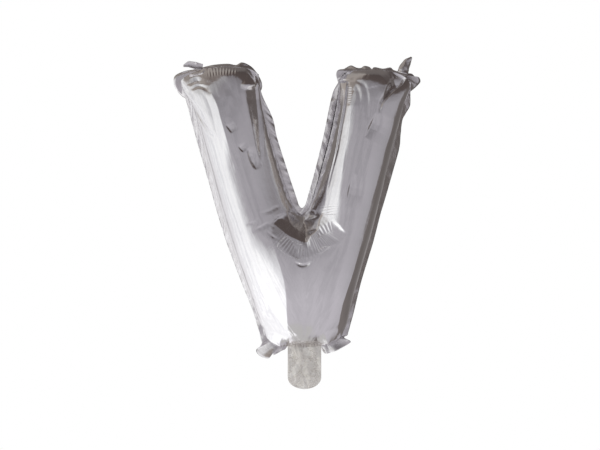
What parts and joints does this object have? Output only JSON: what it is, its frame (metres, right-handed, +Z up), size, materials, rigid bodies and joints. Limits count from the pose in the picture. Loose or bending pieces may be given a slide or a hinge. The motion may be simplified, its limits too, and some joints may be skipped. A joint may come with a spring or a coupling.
{
  "type": "letter foil balloon",
  "caption": "Air-filled foil balloon in the shape of the letter V: two film panels, sealed borders, two hang tabs and a filling neck.",
  "frame": {"origin": "middle of the level line on which the two hang tabs hold the balloon, in the plane of the seam", "axes": "+Z up, +X to the right as the letter is read, -Y to the front; the seam lies in the plane y = 0"},
  "size_m": [0.2878, 0.0902, 0.3925],
  "materials": {
    "foil": "mirror-bright metallised film, drawn into fine folds",
    "sealed_foil": "the same film heat-sealed in two layers, slightly dulled and crumpled",
    "neck_film": "thin half-clear film, crinkled",
    "valve_film": "clear plastic film"
  },
  "bodies": {
    "root": {"front_panel": "foil", "back_panel": "foil", "side_seal_left": "sealed_foil", "side_seal_right": "sealed_foil", "notch_seal": "sealed_foil", "top_seal_left": "sealed_foil", "top_seal_right": "sealed_foil", "foot_seal_left": "sealed_foil", "foot_seal_right": "sealed_foil", "hang_tab_left": "sealed_foil", "hang_tab_right": "sealed_foil", "neck_front_film": "neck_film", "neck_back_film": "neck_film", "valve_film": "valve_film"}
  },
  "joints": []
}
